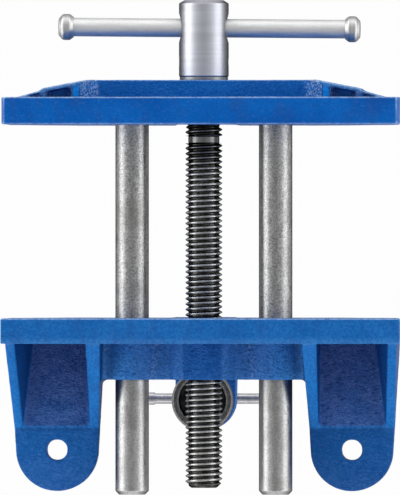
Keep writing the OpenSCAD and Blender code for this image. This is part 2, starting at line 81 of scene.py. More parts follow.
# Directions and segment counts
ALONG_X, ALONG_Y, ALONG_Z = (1, 0, 0), (0, 1, 0), (0, 0, 1)
ROUND, FINE_ROUND, SMALL_ROUND, TINY_ROUND = 96, 160, 64, 48

# How a fillet is cut: the share of a side that it may take, and where the points beside it lie
FILLET_SHARE = 0.46
HOLD_REACH, HOLD_MM, HOLD_SIDE = 0.12, 0.04, 0.04
ON_AXIS = 1e-6
UPRIGHT = 0.9

# One turn of a V thread as (share of the pitch, share of the depth), and how its crests are worn
THREAD_FORM = (
    (0.015, 0.0), (0.125, 0.0), (0.165, 0.09), (0.455, 0.93),
    (0.495, 1.0), (0.645, 1.0), (0.685, 0.93), (0.975, 0.09))
THREAD_WELD, THREAD_SHARP = 2e-6, 50
CREST_FROM, CREST_WEAR, WEAR_ROUND, WEAR_ALONG, WEAR_SEED = 0.5, 0.10, 2, 0.9, 31
UNLIMITED = 99.0

# The skin of a casting: voxels in millimetres, and how its edges and corners are found
VOXEL_FULL, VOXEL_QUICK = 0.5, 0.8
VOXEL = VOXEL_FULL
CORNER_BEND, EDGE_FROM, EDGE_SPAN = 0.05, 0.03, 0.08
CORNER_SPREAD, CORNER_KEEP, CORNER_FILL = 7, 0.9, 50
# A casting's layers: rough paint, tray paint and sheen, painted shade on walls, pebbling, painted pale light,
# painted light and rear paint
LAYERS = ("cast", "tray", "wall", "pebble", "haze", "bright", "rear")


# Mesh helpers
def link(obj):
    bpy.context.scene.collection.objects.link(obj)
    return obj


def mesh_object(name, verts, faces, smooth=True):
    me = bpy.data.meshes.new(name)
    me.from_pydata([tuple(v) for v in verts], [], faces)
    me.update()
    me.polygons.foreach_set("use_smooth", [smooth] * len(me.polygons))
    return link(bpy.data.objects.new(name, me))


def rounded(points, steps=4):
    """An outline of (radius, place, fillet) with rounded corners. A point beside each round holds the flats."""
    out = []
    last = len(points) - 1
    for i, (r, h, fillet) in enumerate(points):
        p = np.array([r, h], float)
        if i in (0, last) or fillet <= 0:
            out.append(p)
            continue
        a, b = np.array(points[i - 1][:2], float) - p, np.array(points[i + 1][:2], float) - p
        la, lb = np.linalg.norm(a), np.linalg.norm(b)
        a, b = a / la, b / lb
        half = math.acos(max(-1.0, min(1.0, float(a @ b)))) / 2
        reach = min(fillet / math.tan(half), FILLET_SHARE * la, FILLET_SHARE * lb)
        radius = reach * math.tan(half)
        centre = p + (a + b) / np.linalg.norm(a + b) * radius / math.sin(half)
        start, end = p + a * reach, p + b * reach
        hold = HOLD_REACH * reach + HOLD_MM
        out.append(start + a * min(hold, HOLD_SIDE * la))
        v0, v1 = start - centre, end - centre
        turn = math.pi - 2 * half
        for k in range(steps + 1):
            t = k / steps
            w0, w1 = math.sin((1 - t) * turn) / math.sin(turn), math.sin(t * turn) / math.sin(turn)
            out.append(centre + v0 * w0 + v1 * w1)
        out.append(end + b * min(hold, HOLD_SIDE * lb))
    return out


def axes_for(direction):
    d = Vector(direction).normalized()
    side = Vector(ALONG_Z) if abs(d.z) < UPRIGHT else Vector(ALONG_X)
    u = (side - d * side.dot(d)).normalized()
    return d, u, d.cross(u)


def turned(name, points, origin, direction, segments=ROUND):
    """A piece turned about a line, from (radius, place) points in millimetres."""
    d, u, w = axes_for(direction)
    o = Vector(origin)
    verts, rings = [], []
    for r, h in points:
        base = o + d * h
        if r < ON_AXIS:
            rings.append([len(verts)])
            verts.append(base * MM)
            continue
        ring = []
        for k in range(segments):
            a = 2 * math.pi * k / segments
            ring.append(len(verts))
            verts.append((base + (u * math.cos(a) + w * math.sin(a)) * r) * MM)
        rings.append(ring)
    faces = []
    for a, b in zip(rings, rings[1:]):
        if len(a) == 1 and len(b) == 1:
            continue
        for k in range(segments):
            n = (k + 1) % segments
            if len(a) == 1:
                faces.append((a[0], b[n], b[k]))
            elif len(b) == 1:
                faces.append((a[k], a[n], b[0]))
            else:
                faces.append((a[k], a[n], b[n], b[k]))
    obj = mesh_object(name, verts, faces)
    clean(obj)
    return obj


def clean(obj, weld=1e-7, thin=False):
    """Welds points closer than weld, takes thin faces out where asked, and turns all faces outward."""
    bm = bmesh.new()
    bm.from_mesh(obj.data)
    bmesh.ops.remove_doubles(bm, verts=bm.verts, dist=weld)
    if thin:
        bmesh.ops.dissolve_degenerate(bm, edges=bm.edges, dist=weld)
    bmesh.ops.recalc_face_normals(bm, faces=bm.faces)
    bm.to_mesh(obj.data)
    bm.free()


def sharpen(obj, degrees):
    obj.data.set_sharp_from_angle(angle=math.radians(degrees))


def bake_modifiers(obj):
    dg = bpy.context.evaluated_depsgraph_get()
    made = bpy.data.meshes.new_from_object(obj.evaluated_get(dg), depsgraph=dg)
    obj.modifiers.clear()
    obj.data = made


def cut_away(obj, *cutters):
    for c in cutters:
        mod = obj.modifiers.new("cut", "BOOLEAN")
        mod.operation, mod.solver, mod.object = "DIFFERENCE", "EXACT", c
    bake_modifiers(obj)
    for c in cutters:
        bpy.data.objects.remove(c)


def joined(name, *objs):
    """Several meshes as one object."""
    bm = bmesh.new()
    for o in objs:
        bm.from_mesh(o.data)
    me = bpy.data.meshes.new(name)
    bm.to_mesh(me)
    bm.free()
    for o in objs:
        bpy.data.objects.remove(o)
    me.polygons.foreach_set("use_smooth", [True] * len(me.polygons))
    return link(bpy.data.objects.new(name, me))


def helix(name, origin, direction, start, end, pitch, root, crest, segments, limit, seed):
    """A V thread as one helical skin, in rows that follow the helix. limit gives the largest radius of a place."""
    d, u, w = axes_for(direction)
    o = Vector(origin)
    depth = crest - root
    first, last = math.floor((start - 2 * pitch) / pitch), math.ceil((end + pitch) / pitch)
    rows = [(k + t, h) for k in range(first, last) for t, h in THREAD_FORM]
    verts, faces = [], []
    for t, h in rows:
        for k in range(segments):
            a = 2 * math.pi * k / segments
            at = pitch * (t + k / segments)
            worn = 0.0
            if h > CREST_FROM:
                around = (math.cos(a) * WEAR_ROUND, math.sin(a) * WEAR_ROUND)
                wear = noise.noise(Vector((*around, at * WEAR_ALONG + seed * WEAR_SEED)))
                worn = max(0.0, wear) * CREST_WEAR
            at = min(max(at, start), end)
            r = min(root + depth * h - worn, limit(at))
            verts.append((o + d * at + (u * math.cos(a) + w * math.sin(a)) * r) * MM)
    per_turn, n_rows = len(THREAD_FORM), len(rows)
    for j in range(n_rows - 1):
        row = j * segments
        for k in range(segments - 1):
            faces.append((row + k, row + k + 1, row + segments + k + 1, row + segments + k))
        if j + 1 + per_turn < n_rows:
            k, turn = segments - 1, per_turn * segments
            faces.append((row + k, row + turn, row + turn + segments, row + segments + k))
    obj = mesh_object(name, verts, faces)
    clean(obj, THREAD_WELD, thin=True)
    sharpen(obj, THREAD_SHARP)
    return obj


# Node helpers
class Nodes:
    """Short calls for building one node tree."""

    MIX_SHARE, MIX_A, MIX_B, MIX_OUT = 0, 6, 7, 2

    def __init__(self, tree):
        self.t = tree
        tree.nodes.clear()

    def add(self, kind, **values):
        n = self.t.nodes.new(kind)
        for k, v in values.items():
            setattr(n, k, v)
        return n

    def put(self, value, socket):
        if isinstance(value, bpy.types.NodeSocket):
            self.t.links.new(value, socket)
        elif value is not None:
            socket.default_value = value

    def math(self, op, a, b=None, clamp=False):
        n = self.add("ShaderNodeMath", operation=op, use_clamp=clamp)
        self.put(a, n.inputs[0])
        self.put(b, n.inputs[1])
        return n.outputs[0]

    def times(self, a, b):
        return self.math("MULTIPLY", a, b)

    def plus(self, a, b, clamp=False):
        return self.math("ADD", a, b, clamp)

    def mix(self, share, a, b):
        """From a to b, each a socket or a colour of three numbers."""
        n = self.add("ShaderNodeMix", data_type="RGBA")
        self.put(share, n.inputs[self.MIX_SHARE])
        for v, i in ((a, self.MIX_A), (b, self.MIX_B)):
            self.put((*v, 1) if isinstance(v, tuple) else v, n.inputs[i])
        return n.outputs[self.MIX_OUT]

    def span(self, v, lo, hi, to_lo=0.0, to_hi=1.0):
        n = self.add("ShaderNodeMapRange", clamp=True)
        for i, x in enumerate((v, lo, hi, to_lo, to_hi)):
            self.put(x, n.inputs[i])
        return n.outputs[0]

    def place(self):
        return self.add("ShaderNodeTexCoord").outputs["Object"]

    def split(self, v):
        n = self.add("ShaderNodeSeparateXYZ")
        self.put(v, n.inputs[0])
        return n.outputs

    def scaled(self, v, scale):
        n = self.add("ShaderNodeVectorMath", operation="MULTIPLY")
        self.put(v, n.inputs[0])
        n.inputs[1].default_value = scale
        return n.outputs[0]

    def noise(self, v, size, detail, rough, warp=0.0):
        """Noise with features about size millimetres across."""
        n = self.add("ShaderNodeTexNoise")
        self.put(v, n.inputs["Vector"])
        n.inputs["Scale"].default_value = 1 / (size * MM)
        n.inputs["Detail"].default_value = detail
        n.inputs["Roughness"].default_value = rough
        n.inputs["Distortion"].default_value = warp
        return n.outputs[0]

    def bump(self, height, distance, after=None):
        n = self.add("ShaderNodeBump")
        n.inputs["Strength"].default_value = 1.0
        n.inputs["Distance"].default_value = distance * MM
        self.put(height, n.inputs["Height"])
        if after is not None:
            self.put(after, n.inputs["Normal"])
        return n.outputs[0]

    def attribute(self, name):
        return self.add("ShaderNodeAttribute", attribute_name=name).outputs["Fac"]

    def principled(self, values):
        """The surface, with its values on the shader's own sockets."""
        n = self.add("ShaderNodeBsdfPrincipled")
        for k, v in values.items():
            self.put(v, n.inputs[k])
        self.put(n.outputs[0], self.add("ShaderNodeOutputMaterial").inputs[0])


def material(name):
    m = bpy.data.materials.new(name)
    m.use_nodes = True
    return m, Nodes(m.node_tree)


# Paint, with painted light and shade laid over it
PATCHES, PATCH_SPAN, SAND_SPAN = 24, (0.35, 0.65), (0.36, 0.64)
FRONT_PAINT = (0.000, 0.082, 0.375), (0.002, 0.120, 0.475)
REAR_PAINT = (0.008, 0.126, 0.410), (0.014, 0.150, 0.460)
SAND_PAINT = (0.006, 0.098, 0.370), (0.022, 0.140, 0.470)
# Trays, web and ear ends: a greyer, purpler paint, partly a painted sheen of pale light on rough paint
TRAY_PAINT_AND_SHEEN = (0.046, 0.110, 0.345), (0.088, 0.158, 0.435)
# Painted shade: dark navy on the ear walls below the ribs and on the right ear's end
WALL_SHADE, WALL_SHADE_SHARE = (0.000, 0.020, 0.105), 0.85
# Painted light: a paler blue that lifts the shade on rib tops, on the web beside the inner ribs, on pocket floors
# and on pebbled slopes
PAINTED_LIGHT_BLUE = (0.006, 0.300, 0.900)
SMUDGE_PAINT, SMUDGE_SPAN, SMUDGE_SHARE = (0.020, 0.066, 0.250), (0.50, 0.66), 0.34
MOTTLE_PAINT, MOTTLE_SPAN = (0.001, 0.062, 0.300), (0.58, 0.42)
MOTTLE_SHARES, REAR_MOTTLE = (0.30, 0.22), 0.14
# The worm relief's hollows are darker, dirt with painted shade, and its crests paler, thin paint with a painted
# highlight
PIT_DIRT_AND_SHADE, PIT_SPAN, PIT_SHARE = (0.002, 0.022, 0.120), (0.46, 0.33), 0.55
PEAK_THIN_PAINT_AND_HIGHLIGHT, PEAK_SPAN, PEAK_SHARES = (0.100, 0.240, 0.600), (0.56, 0.68), (0.10, 0.30)
# Painted shade in the castings' inner corners
CORNER_SHADE, CORNER_SHADE_SHARE = (0.002, 0.036, 0.190), 0.30
# Painted highlight: pale flecks on the pebbled slopes and the web's crease
PEBBLE_HIGHLIGHT, PEBBLE_HIGHLIGHT_SPAN, PEBBLE_HIGHLIGHT_SHARE = (0.400, 0.540, 0.860), (0.46, 0.60), 0.60
# Painted light, pale and grey: on the rear band's back edge, the web beside the inner ribs, the wing's rim and the
# pocket floors
PAINTED_PALE_LIGHT, PAINTED_PALE_LEAST = (0.130, 0.330, 0.640), 0.5
# Pale rims on the edges: paint worn thin and a painted highlight, most on edges facing the front
RIM_WEAR_AND_HIGHLIGHT, RIM_SPAN, RIM_LEAST, RIM_SHARE = (0.540, 0.740, 0.960), (0.32, 0.60), 0.35, 0.95
PAINT_ROUGH, ROUGH_BY_CAST, PAINT_GLOSS = (0.32, 0.48), 0.08, 0.08
MEDIUM_BUMP, GRAIN_BUMP, GRAIN_SHARES, WORM_BUMP, CRUMB_BUMP = 0.05, 0.50, (0.55, 0.60), 0.75, 0.80
ROUGH_CAST, SMOOTH_CAST = (0.2, 1.0), (0.6, 0.0)


def enamel():
    """Thick blue enamel over sand-cast iron: smooth on the bands, pitted below, pale on the edges from worn paint
    and a painted highlight, with painted shade in walls, corners and hollows and painted light on ribs, pockets
    and slopes.
    """
    m, n = material("blue_enamel")
    p = n.place()
    cast, tray, wall, pebble, haze, bright, rear, inner_corner_shade, rim = (
        n.attribute(a) for a in (*LAYERS, "inner_corner_shade", "rim"))
    broad = n.noise(p, PATCHES, detail=2, rough=0.5)
    medium = n.noise(p, 5.0, detail=3, rough=0.6)
    worms = n.noise(n.scaled(p, (0.62, 1.1, 1.0)), 0.95, detail=2, rough=0.5, warp=0.9)
    grain = n.noise(p, 1.15, detail=2, rough=0.6)
    smears = n.noise(n.scaled(p, (1.0, 0.5, 1.0)), 7.0, detail=4, rough=0.62)
    flakes = n.noise(p, 1.8, detail=3, rough=0.65)
    patch, sandy = n.span(broad, *PATCH_SPAN), n.span(medium, *SAND_SPAN)
    pitted = n.span(cast, *ROUGH_CAST)

    band = n.mix(rear, n.mix(patch, *FRONT_PAINT), n.mix(patch, *REAR_PAINT))
    colour = n.mix(cast, band, n.mix(tray, n.mix(sandy, *SAND_PAINT), n.mix(sandy, *TRAY_PAINT_AND_SHEEN)))
    # Painted shade on the ear walls
    colour = n.mix(n.times(wall, WALL_SHADE_SHARE), colour, WALL_SHADE)
    # Painted light where the shade is lifted
    colour = n.mix(bright, colour, PAINTED_LIGHT_BLUE)
    smudge = n.times(n.span(smears, *SMUDGE_SPAN, 0.0, SMUDGE_SHARE), n.span(cast, *SMOOTH_CAST))
    colour = n.mix(smudge, colour, SMUDGE_PAINT)
    mottle = n.plus(n.span(cast, 0.0, 1.0, *MOTTLE_SHARES), n.times(rear, REAR_MOTTLE))
    colour = n.mix(n.times(n.span(grain, *MOTTLE_SPAN), mottle), colour, MOTTLE_PAINT)
    # Darker in the hollows and paler on the crests of the worm relief that the bump also draws: dirt and thin
    # paint, with painted shade and highlight
    pit_dirt_and_shade = n.times(n.span(worms, *PIT_SPAN), n.times(pitted, PIT_SHARE))
    colour = n.mix(pit_dirt_and_shade, colour, PIT_DIRT_AND_SHADE)
    peak_thin_paint_and_highlight = n.times(n.span(worms, *PEAK_SPAN), n.span(cast, 0.0, 1.0, *PEAK_SHARES))
    colour = n.mix(peak_thin_paint_and_highlight, colour, PEAK_THIN_PAINT_AND_HIGHLIGHT)
    # Painted shade in inner corners
    colour = n.mix(n.times(inner_corner_shade, CORNER_SHADE_SHARE), colour, CORNER_SHADE)
    # Painted highlight in pale flecks on the pebbled slopes
    pebble_highlight = n.times(pebble, n.span(grain, *PEBBLE_HIGHLIGHT_SPAN, 0.0, PEBBLE_HIGHLIGHT_SHARE))
    colour = n.mix(pebble_highlight, colour, PEBBLE_HIGHLIGHT)
    # Painted pale light
    colour = n.mix(n.times(haze, n.span(grain, *PATCH_SPAN, PAINTED_PALE_LEAST, 1.0)), colour, PAINTED_PALE_LIGHT)
    # Worn paint and a painted highlight on the rims
    rim_wear_and_highlight = n.times(rim, n.span(flakes, *RIM_SPAN, RIM_LEAST, 1.0))
    colour = n.mix(n.times(rim_wear_and_highlight, RIM_SHARE), colour, RIM_WEAR_AND_HIGHLIGHT)

    rough = n.span(n.plus(n.times(worms, 0.5), n.times(medium, 0.5)), *PATCH_SPAN, *PAINT_ROUGH)
    rough = n.plus(rough, n.times(cast, ROUGH_BY_CAST), clamp=True)
    bump = n.bump(medium, MEDIUM_BUMP)
    bump = n.bump(n.times(grain, n.span(cast, 0.0, 1.0, *GRAIN_SHARES)), GRAIN_BUMP, bump)
    bump = n.bump(n.times(worms, pitted), WORM_BUMP, bump)
    bump = n.bump(n.times(grain, pebble), CRUMB_BUMP, bump)
    n.principled({"Base Color": colour, "Roughness": rough, "Normal": bump, "Specular IOR Level": PAINT_GLOSS})
    return m


# Steel, with painted shade in its hollows and along the hub's sides
TONE_SPAN, STAIN_SPAN, STAIN_SHARE, SPREAD_SPAN = (0.38, 0.62), (0.50, 0.72), 0.6, (0.35, 0.65)
GRAIN_SIZE, SPREAD_GRAIN, SPREAD_BROAD = 2.2, 0.6, 0.4
EDGE_SHADE_SPAN, EDGE_SHADE_LEAST = (0.34, 0.56), 0.75
ROOT_SHADE_SPAN, ROOT_SHADE_LEAST = (0.2, 0.6), 0.7
RING_EDGE = 0.3


def steel(name, dark, light, rough, edge_tint, speck, speck_share=0.5, along=None, bump=0.03, stain=None,
          core=None, worn=None, marks=None, flanks=None, ring=None):
    """Bare steel from dark to light, in specks of speck millimetres.

    along stretches its grain, and marks adds turning marks of (stretch, size, height).
    stain is a second colour in patches.
    core is (line, inner radius, outer radius, colour) for painted shade inside a radius: the roots of a thread and
    the pad's dished centre.
    worn is (axis, start, end, share, colour) for steel that changes along an axis.
    flanks is the same as worn, for both sides of the middle; on the hub it is a painted dark reflection along its
    sides.
    ring is (axis, start, end, colour) for the bottom of a groove: a milder painted shade there in place of the
    root's.
    """
    m, n = material(name)
    p = n.place()
    grain = n.noise(n.scaled(p, along) if along else p, speck * GRAIN_SIZE, detail=4, rough=0.6)
    specks = n.noise(p, speck, detail=3, rough=0.7)
    broad = n.noise(p, 18, detail=3, rough=0.55)
    tone = n.plus(n.times(grain, 1 - speck_share), n.times(specks, speck_share))
    colour = n.mix(n.span(tone, *TONE_SPAN), dark, light)
    if worn:
        axis, start, end, share, tint = worn
        colour = n.mix(n.span(n.split(p)[axis], start * MM, end * MM, 0.0, share), colour, tint)
    # A painted dark reflection on both sides of the middle
    if flanks:
        axis, start, end, share, tint = flanks
        aside = n.math("ABSOLUTE", n.split(p)[axis])
        flank_shade = n.span(aside, start * MM, end * MM, 0.0, share)
        flank_shade = n.times(flank_shade, n.span(specks, *EDGE_SHADE_SPAN, EDGE_SHADE_LEAST, 1.0))
        colour = n.mix(flank_shade, colour, tint)
    if stain:
        colour = n.mix(n.times(n.span(broad, *STAIN_SPAN), STAIN_SHARE), colour, stain)
    # Painted shade in thread roots and in the pad's dished centre
    if core:
        line, inside, outside, tint = core
        parts = n.split(p)
        u, v = (n.math("SUBTRACT", parts[i], at * MM) for i, at in line)
        r = n.math("SQRT", n.plus(n.times(u, u), n.times(v, v)))
        patches = n.span(n.noise(p, 3.0, detail=2, rough=0.6), *ROOT_SHADE_SPAN, ROOT_SHADE_LEAST, 1.0)
        colour = n.mix(n.times(n.span(r, outside * MM, inside * MM), patches), colour, tint)
    # A milder painted shade at the bottom of a groove, in place of the root's
    if ring:
        axis, start, end, tint = ring
        at = n.split(p)[axis]
        inside = n.times(n.span(at, start * MM, (start + RING_EDGE) * MM),
                         n.span(at, end * MM, (end - RING_EDGE) * MM))
        colour = n.mix(inside, colour, tint)
    spread = n.plus(n.times(grain, SPREAD_GRAIN), n.times(broad, SPREAD_BROAD))
    relief = n.bump(tone, bump)
    if marks:
        stretch, size, height = marks
        relief = n.bump(n.noise(n.scaled(p, stretch), size, detail=3, rough=0.7), height, relief)
    n.principled({
        "Base Color": colour, "Metallic": 1.0, "Roughness": n.span(spread, *SPREAD_SPAN, *rough),
        "Normal": relief, "Specular Tint": (*edge_tint, 1)})
    return m


def grey(v, warm=1.0):
    return (v, v, v * warm)


X, Y, Z = 0, 1, 2
ACROSS_X, ACROSS_Y = (1, 0.04, 0.04), (0.04, 1, 0.04)
SCREW_LINE = ((X, 0), (Z, AXIS_Z))
CLAMP_LINE = ((X, CLAMP_X), (Y, CLAMP_Y))
ENAMEL = enamel()
# The rods are lighter towards the back
ROD = steel(
    "ground_steel", dark=grey(0.21), light=grey(0.57, 0.99), rough=(0.28, 0.39), edge_tint=grey(0.06), speck=0.8,
    speck_share=0.75, along=(1, 0.4, 1), bump=0.10, stain=grey(0.22, 0.95), worn=(Y, -60, 10, 0.45, grey(0.50)))
# The screw is darker towards the front jaw; its thread roots get painted shade and its groove a milder one
SCREW = steel(
    "oiled_steel", dark=grey(0.38), light=grey(0.70, 0.98), rough=(0.18, 0.34), edge_tint=grey(0.2), speck=0.7,
    bump=0.05, core=(SCREW_LINE, 6.8, 7.7, grey(0.038, 0.9)), worn=(Y, -119, -128, 0.88, grey(0.12)),
    ring=(Y, *GROOVE, grey(0.21)))
# The hub's sides get a painted dark reflection
HUB = steel(
    "turned_steel", dark=(0.53, 0.54, 0.59), light=(0.62, 0.63, 0.69), rough=(0.38, 0.46), edge_tint=grey(0.0),
    speck=0.8, speck_share=0.2, along=ACROSS_Y, bump=0.02, marks=(ACROSS_Y, 0.8, 0.05),
    flanks=(X, 7.6, 9.6, 0.78, grey(0.13, 0.97)))
BAR = steel(
    "plated_steel", dark=grey(0.72), light=grey(0.83, 1.01), rough=(0.50, 0.60), edge_tint=grey(0.02), speck=0.8,
    speck_share=0.4, along=(0.15, 1, 1))
KNOB = steel(
    "knob_steel", dark=grey(0.54), light=grey(0.68, 0.99), rough=(0.38, 0.50), edge_tint=grey(0.02), speck=0.7,
    speck_share=0.3, along=ACROSS_X, marks=(ACROSS_X, 0.9, 0.05))
# The pad's dished centre gets painted shade
PAD = steel(
    "pad_steel", dark=grey(0.14, 0.96), light=grey(0.26, 0.96), rough=(0.34, 0.52), edge_tint=grey(0.2),
    speck=0.8, bump=0.06, stain=(0.10, 0.06, 0.035), core=(CLAMP_LINE, 9.9, 10.25, grey(0.022, 0.9)))
# The clamp screw's thread roots get painted shade
CLAMP = steel(
    "clamp_steel", dark=grey(0.24), light=grey(0.40, 0.97), rough=(0.28, 0.42), edge_tint=grey(0.2), speck=0.7,
    bump=0.05, core=(CLAMP_LINE, 5.1, 5.8, grey(0.03, 0.9)))
TOMMY = steel(
    "tommy_steel", dark=(0.44, 0.44, 0.47), light=(0.66, 0.66, 0.69), rough=(0.26, 0.42), edge_tint=grey(0.2),
    speck=0.8, bump=0.04, stain=grey(0.24, 0.95))
PIN = steel(
    "pin_steel", dark=grey(0.24), light=grey(0.36, 0.97), rough=(0.26, 0.40), edge_tint=grey(0.1), speck=0.6)


def dress(obj, mat, body, node):
    obj.data.materials.clear()
    obj.data.materials.append(mat)
    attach(obj, body)
    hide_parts(node)


# Castings
def neighbours(edges, count):
    """A call that gives each point the mean of its neighbours' values."""
    degree = np.bincount(edges.ravel(), minlength=count).astype(float)
    a, b = edges[:, 0], edges[:, 1]

    def mean(values):
        if values.ndim == 1:
            return (np.bincount(a, values[b], count) + np.bincount(b, values[a], count)) / degree
        return np.stack([mean(values[:, i]) for i in range(values.shape[1])], 1)

    return mean


def read(me):
    places, edges = np.empty(len(me.vertices) * 3), np.empty(len(me.edges) * 2, int)
    me.vertices.foreach_get("co", places)
    me.edges.foreach_get("vertices", edges)
    return places.reshape(-1, 3), edges.reshape(-1, 2)


def normals(me):
    no = np.empty(len(me.vertices) * 3)
    me.vertices.foreach_get("normal", no)
    return no.reshape(-1, 3)


def write(me, co):
    me.vertices.foreach_set("co", co.ravel())
    me.update()


def put_attribute(me, name, values):
    me.attributes.new(name, "FLOAT", "POINT").data.foreach_set("value", values.astype(np.float32))


def settle(values, mean, times):
    for _ in range(times):
        values = 0.5 * values + 0.5 * mean(values)
    return values


def skin_lift(q, cast, pebble):
    """How far the sand-cast skin stands proud at a place in millimetres, broad first and fine last."""
    lift = 0.05 * noise.noise(q / 11) + (0.012 + 0.045 * cast) * noise.noise(q / 3.4)
    fine = noise.noise(Vector((q.x * 0.45, q.y, q.z)) / 1.3)
    return lift + (0.006 + 0.050 * cast) * fine + 0.16 * pebble * noise.noise(q / 1.3)


def casting(node, name, look):
    """The CAD solid's own shape with rounded cast edges, filled inner corners and a sand-cast skin."""
    obj = link(bpy.data.objects.new(name, NODES[node].data.copy()))
    clean(obj, 1e-6)
    mod = obj.modifiers.new("skin", "REMESH")
    mod.mode, mod.voxel_size, mod.adaptivity = "VOXEL", VOXEL * MM, 0.0
    mod.use_smooth_shade = True
    bake_modifiers(obj)
    me = obj.data
    if "sharp_face" in me.attributes:
        me.attributes.remove(me.attributes["sharp_face"])
    co, edges = read(me)
    mean = neighbours(edges, len(co))

    def bend_of(co):
        write(me, co)
        no = normals(me)
        return no, -np.einsum("ij,ij->i", no, mean(co) - co) / (VOXEL * MM)

    for _ in range(3):
        co = co + 0.5 * (mean(co) - co)
    bend = settle(bend_of(co)[1], mean, 3)
    inner = np.clip(-bend / CORNER_BEND, 0, 1)
    fine = VOXEL_FULL / VOXEL
    for _ in range(round(CORNER_SPREAD * fine)):
        inner = np.maximum(inner, CORNER_KEEP * mean(inner))
    for _ in range(round(CORNER_FILL * fine * fine)):
        co = co + 0.5 * inner[:, None] * (mean(co) - co)
    no, bend = bend_of(co)
    bend = settle(bend, mean, 1)
    edge = np.clip((bend - EDGE_FROM) / EDGE_SPAN, 0, 1)
    # How deep in an inner corner each place lies, for the painted shade there
    inner_corner_shade = settle(np.clip(-bend / CORNER_BEND, 0, 1), mean, 6)
    layers = {key: settle(values, mean, 2) for key, values in look(co / MM, no).items()}
    samples = zip(co / MM, layers["cast"], layers["pebble"])
    lift = np.array([skin_lift(Vector(at), cast, pebble) for at, cast, pebble in samples])
    write(me, co + no * ((lift + layers["rise"]) * MM)[:, None])
    for key in LAYERS:
        put_attribute(me, key, layers[key])
    put_attribute(me, "inner_corner_shade", inner_corner_shade)
    # Pale rims on convex edges: worn paint and a painted highlight
    put_attribute(me, "rim", edge * layers["rim"])
    return obj


def step(v, lo, hi):
    return np.clip((v - lo) / (hi - lo), 0, 1)


def within(v, lo, hi, soft=0.4):
    return step(v, lo - soft, lo) * step(v, hi + soft, hi)


def most(*values):
    return np.maximum.reduce(values)


def band_end(no, z):
    """The two end faces of a jaw's band."""
    return np.clip(np.abs(no[:, 0]) * 2 - 1, 0, 1) * step(z, BAND_Z, BAND_Z + 1)


def rear_look(p, no):
    """How rough and how purple each place of the rear casting is, where shade and light are painted on it, and its
    small steps and creases.
    """
    x, y, z = np.abs(p[:, 0]), p[:, 1], p[:, 2]
    up = step(no[:, 2], 0.45, 0.8)
    band = step(z, BAND_Z - 2, BAND_Z) * step(y, REAR_BACK + 2, REAR_BACK + 0.4)
    face = step(y, REAR_Y + 0.9, REAR_Y + 0.3)
    ear = step(x, EAR_IN - 1, EAR_IN + 0.5) * step(y, REAR_BACK - 1, REAR_BACK)
    rib_z = np.maximum(BAND_Z - (y - REAR_BACK) * RIB_FALL, EAR_TOP)
    rib_top = ear * step(z, rib_z - 1.6, rib_z - 0.6) * step(y, EAR_RIB_END + 0.5, EAR_RIB_END - 0.5)
    floor = ear * up * within(z, EAR_TOP - 1.2, EAR_TOP + 1.2) * step(y, EAR_RIB_END + 0.5, EAR_RIB_END - 0.3)
    pad = ear * step(y, EAR_RIB_END - 0.3, EAR_RIB_END + 0.5)
    # The ear walls below the ribs, which get painted shade
    wall = ear * (1 - up) * step(z, EAR_TOP + 1, EAR_TOP + 2) * (1 - rib_top)
    web = up * within(z, WEB_TOP - 3, WEB_TOP + 6) * step(x, EAR_IN + 0.5, EAR_IN - 0.5) * (1 - band)
    crease_x, crease_y, crease_lean, crease_w = 21, -38, 0.12, 1.3
    crease = web * np.exp(-((x - crease_x - crease_lean * (y - crease_y)) / crease_w) ** 2)
    # The tray paint and its painted sheen, laid on more strongly near the jaw
    tray = floor * (0.7 + 0.3 * step(y, EAR_RIB_END - 8, REAR_BACK + 12))
    tray = tray + 0.45 * web + 0.45 * pad * step(y, 0, 16)
    right_pad = pad * step(-p[:, 0], 20, 50)
    return dict(
        cast=np.clip(1 - most(band, 0.7 * face, 0.90 * rib_top, 0.45 * pad, 0.8 * wall), 0, 1),
        tray=np.clip(tray, 0, 1),
        # Painted shade on the walls and, lighter, on the right ear's end
        wall=most(wall, 0.32 * right_pad),
        # The crease is pebbled a little, which also gives it the painted highlight
        pebble=0.4 * crease,
        # Painted light on the band's back edge and on the web beside the inner ribs
        haze=most(0.22 * band * step(y, REAR_BACK - 2.6, REAR_BACK - 1.2),
                  web * (0.20 + 0.34 * step(x, 33, 41))),
        # Painted light on the rib tops and on the web beside the inner ribs
        bright=most(0.20 * rib_top, web * (0.24 + 0.40 * step(x, 28, 36))),
        rear=np.ones(len(p)),
        # Edges facing the front and the band ends: worn paint and a painted highlight
        rim=most(step(-no[:, 1], 0.15, 0.45) * step(z, TOP_Z - 3, TOP_Z - 1), 0.6 * band_end(no, z)),
        rise=0.45 * crease - 0.4 * floor)


